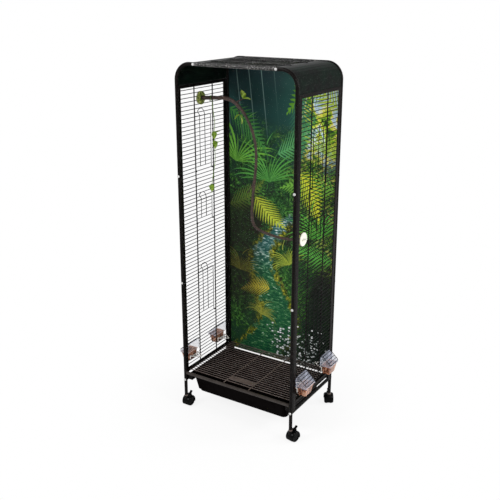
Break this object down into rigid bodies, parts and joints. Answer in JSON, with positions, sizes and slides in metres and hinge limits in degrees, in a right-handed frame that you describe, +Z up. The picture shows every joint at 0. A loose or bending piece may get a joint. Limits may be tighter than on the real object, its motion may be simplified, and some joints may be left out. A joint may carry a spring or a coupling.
{
  "type": "parrot aviary",
  "caption": "Tall wire bird aviary on castors with clear front, printed back, drop-down side doors, side feeders, pull-out tray and grate, and a branch perch.",
  "frame": {"origin": "on the floor, midway between the four posts", "axes": "+Z up, -Y towards the clear front panel, +X to the right seen from the front"},
  "size_m": [0.7156, 0.4595, 1.6799],
  "materials": {
    "powder_coated_steel": "black hammered powder coat",
    "clear_plastic": "clear",
    "amber_plastic": "translucent amber",
    "white_plastic": "satin",
    "cream_plastic": "satin",
    "mossy_green": "mottled green",
    "leaf_green": "printed leaf cloth",
    "wood_bark": "rough bark",
    "printed_board": null,
    "tray_plastic": "moulded, dark",
    "castor_plastic": "black",
    "castor_tyre": "dark grey"
  },
  "bodies": {
    "cage": {"left_front_post": "powder_coated_steel", "left_rear_post": "powder_coated_steel", "right_front_post": "powder_coated_steel", "right_rear_post": "powder_coated_steel", "roof_front_tube": "powder_coated_steel", "roof_rear_tube": "powder_coated_steel", "front_bottom_rail": "powder_coated_steel", "rear_bottom_rail": "powder_coated_steel", "left_side_frame": "powder_coated_steel", "right_side_frame": "powder_coated_steel", "left_corner_cover": "powder_coated_steel", "right_corner_cover": "powder_coated_steel", "roof_grille": "powder_coated_steel", "left_tray_runner": "powder_coated_steel", "right_tray_runner": "powder_coated_steel", "front_panel": "clear_plastic", "back_panel": "printed_board", "left_front_feeder_hood": "clear_plastic", "left_front_feeder_perch": "white_plastic", "left_rear_feeder_hood": "clear_plastic", "left_rear_feeder_perch": "white_plastic", "right_front_feeder_hood": "clear_plastic", "right_front_feeder_perch": "white_plastic", "right_rear_feeder_hood": "clear_plastic", "right_rear_feeder_perch": "white_plastic", "branch_perch": "wood_bark", "branch_left_flange": "mossy_green", "branch_right_flange": "mossy_green", "branch_left_clamp": "cream_plastic", "branch_right_clamp": "cream_plastic", "leaf_vine": "leaf_green"},
    "left_upper_door": {"left_upper_door": "powder_coated_steel"},
    "left_middle_door": {"left_middle_door": "powder_coated_steel"},
    "left_lower_door": {"left_lower_door": "powder_coated_steel"},
    "left_front_feeder_flap": {"left_front_feeder_flap": "powder_coated_steel"},
    "left_front_feeder_cup": {"left_front_feeder_cup": "amber_plastic"},
    "left_rear_feeder_flap": {"left_rear_feeder_flap": "powder_coated_steel"},
    "left_rear_feeder_cup": {"left_rear_feeder_cup": "amber_plastic"},
    "right_upper_door": {"right_upper_door": "powder_coated_steel"},
    "right_middle_door": {"right_middle_door": "powder_coated_steel"},
    "right_lower_door": {"right_lower_door": "powder_coated_steel"},
    "right_front_feeder_flap": {"right_front_feeder_flap": "powder_coated_steel"},
    "right_front_feeder_cup": {"right_front_feeder_cup": "amber_plastic"},
    "right_rear_feeder_flap": {"right_rear_feeder_flap": "powder_coated_steel"},
    "right_rear_feeder_cup": {"right_rear_feeder_cup": "amber_plastic"},
    "drop_tray": {"drop_tray": "tray_plastic"},
    "floor_grate": {"floor_grate": "powder_coated_steel"},
    "front_left_castor_swivel": {"front_left_castor_body": "castor_plastic"},
    "front_left_castor_wheels": {"front_left_castor_wheels": "castor_tyre"},
    "front_left_castor_lever": {"front_left_castor_lever": "castor_plastic"},
    "front_right_castor_swivel": {"front_right_castor_body": "castor_plastic"},
    "front_right_castor_wheels": {"front_right_castor_wheels": "castor_tyre"},
    "front_right_castor_lever": {"front_right_castor_lever": "castor_plastic"},
    "rear_left_castor_swivel": {"rear_left_castor_body": "castor_plastic"},
    "rear_left_castor_wheels": {"rear_left_castor_wheels": "castor_tyre"},
    "rear_left_castor_lever": {"rear_left_castor_lever": "castor_plastic"},
    "rear_right_castor_swivel": {"rear_right_castor_body": "castor_plastic"},
    "rear_right_castor_wheels": {"rear_right_castor_wheels": "castor_tyre"},
    "rear_right_castor_lever": {"rear_right_castor_lever": "castor_plastic"}
  },
  "joints": [
    {"name": "left_upper_door_hinge", "type": "hinge", "parent": "cage", "child": "left_upper_door", "pos_m": [-0.3015, 0, 1.173], "axis": [0, -1, 0], "range_deg": [0, 110]},
    {"name": "left_middle_door_hinge", "type": "hinge", "parent": "cage", "child": "left_middle_door", "pos_m": [-0.3015, 0, 0.921], "axis": [0, -1, 0], "range_deg": [0, 110]},
    {"name": "left_lower_door_hinge", "type": "hinge", "parent": "cage", "child": "left_lower_door", "pos_m": [-0.3015, 0, 0.435], "axis": [0, -1, 0], "range_deg": [0, 110]},
    {"name": "left_front_feeder_flap_hinge", "type": "hinge", "parent": "cage", "child": "left_front_feeder_flap", "pos_m": [-0.3015, -0.12, 0.327], "axis": [0, 1, 0], "range_deg": [0, 90]},
    {"name": "left_front_feeder_cup_slide", "type": "slide", "parent": "cage", "child": "left_front_feeder_cup", "axis": [-1, 0, 0], "range_m": [0, 0.05]},
    {"name": "left_rear_feeder_flap_hinge", "type": "hinge", "parent": "cage", "child": "left_rear_feeder_flap", "pos_m": [-0.3015, 0.12, 0.327], "axis": [0, 1, 0], "range_deg": [0, 90]},
    {"name": "left_rear_feeder_cup_slide", "type": "slide", "parent": "cage", "child": "left_rear_feeder_cup", "axis": [-1, 0, 0], "range_m": [0, 0.05]},
    {"name": "right_upper_door_hinge", "type": "hinge", "parent": "cage", "child": "right_upper_door", "pos_m": [0.3015, 0, 1.173], "axis": [0, 1, 0], "range_deg": [0, 110]},
    {"name": "right_middle_door_hinge", "type": "hinge", "parent": "cage", "child": "right_middle_door", "pos_m": [0.3015, 0, 0.921], "axis": [0, 1, 0], "range_deg": [0, 110]},
    {"name": "right_lower_door_hinge", "type": "hinge", "parent": "cage", "child": "right_lower_door", "pos_m": [0.3015, 0, 0.435], "axis": [0, 1, 0], "range_deg": [0, 110]},
    {"name": "right_front_feeder_flap_hinge", "type": "hinge", "parent": "cage", "child": "right_front_feeder_flap", "pos_m": [0.3015, -0.12, 0.327], "axis": [0, -1, 0], "range_deg": [0, 90]},
    {"name": "right_front_feeder_cup_slide", "type": "slide", "parent": "cage", "child": "right_front_feeder_cup", "axis": [1, 0, 0], "range_m": [0, 0.05]},
    {"name": "right_rear_feeder_flap_hinge", "type": "hinge", "parent": "cage", "child": "right_rear_feeder_flap", "pos_m": [0.3015, 0.12, 0.327], "axis": [0, -1, 0], "range_deg": [0, 90]},
    {"name": "right_rear_feeder_cup_slide", "type": "slide", "parent": "cage", "child": "right_rear_feeder_cup", "axis": [1, 0, 0], "range_m": [0, 0.05]},
    {"name": "tray_slide", "type": "slide", "parent": "cage", "child": "drop_tray", "axis": [0, -1, 0], "range_m": [0, 0.3]},
    {"name": "grate_slide", "type": "slide", "parent": "cage", "child": "floor_grate", "axis": [0, 1, 0], "range_m": [-0.3, 0]},
    {"name": "front_left_castor_swivel", "type": "hinge", "parent": "cage", "child": "front_left_castor_swivel", "pos_m": [-0.297, -0.197, 0.05], "axis": [0, 0, 1], "continuous": true},
    {"name": "front_left_castor_roll", "type": "hinge", "parent": "front_left_castor_swivel", "child": "front_left_castor_wheels", "pos_m": [-0.297, -0.178, 0.025], "axis": [-1, 0, 0], "continuous": true},
    {"name": "front_left_castor_brake", "type": "hinge", "parent": "front_left_castor_swivel", "child": "front_left_castor_lever", "pos_m": [-0.297, -0.169, 0.0555], "axis": [-1, 0, 0], "range_deg": [0, 25]},
    {"name": "front_right_castor_swivel", "type": "hinge", "parent": "cage", "child": "front_right_castor_swivel", "pos_m": [0.297, -0.197, 0.05], "axis": [0, 0, 1], "continuous": true},
    {"name": "front_right_castor_roll", "type": "hinge", "parent": "front_right_castor_swivel", "child": "front_right_castor_wheels", "pos_m": [0.30095, -0.17841, 0.025], "axis": [-0.9781, 0.2079, 0], "continuous": true},
    {"name": "front_right_castor_brake", "type": "hinge", "parent": "front_right_castor_swivel", "child": "front_right_castor_lever", "pos_m": [0.30282, -0.16961, 0.0555], "axis": [-0.9781, 0.2079, 0], "range_deg": [0, 25]},
    {"name": "rear_left_castor_swivel", "type": "hinge", "parent": "cage", "child": "rear_left_castor_swivel", "pos_m": [-0.297, 0.197, 0.05], "axis": [0, 0, 1], "continuous": true},
    {"name": "rear_left_castor_roll", "type": "hinge", "parent": "rear_left_castor_swivel", "child": "rear_left_castor_wheels", "pos_m": [-0.28808, 0.21378, 0.025], "axis": [-0.8829, 0.4695, 0], "continuous": true},
    {"name": "rear_left_castor_brake", "type": "hinge", "parent": "rear_left_castor_swivel", "child": "rear_left_castor_lever", "pos_m": [-0.28386, 0.22172, 0.0555], "axis": [-0.8829, 0.4695, 0], "range_deg": [0, 25]},
    {"name": "rear_right_castor_swivel", "type": "hinge", "parent": "cage", "child": "rear_right_castor_swivel", "pos_m": [0.297, 0.197, 0.05], "axis": [0, 0, 1], "continuous": true},
    {"name": "rear_right_castor_roll", "type": "hinge", "parent": "rear_right_castor_swivel", "child": "rear_right_castor_wheels", "pos_m": [0.28693, 0.21311, 0.025], "axis": [-0.848, -0.5299, 0], "continuous": true},
    {"name": "rear_right_castor_brake", "type": "hinge", "parent": "rear_right_castor_swivel", "child": "rear_right_castor_lever", "pos_m": [0.28216, 0.22074, 0.0555], "axis": [-0.848, -0.5299, 0], "range_deg": [0, 25]}
  ]
}
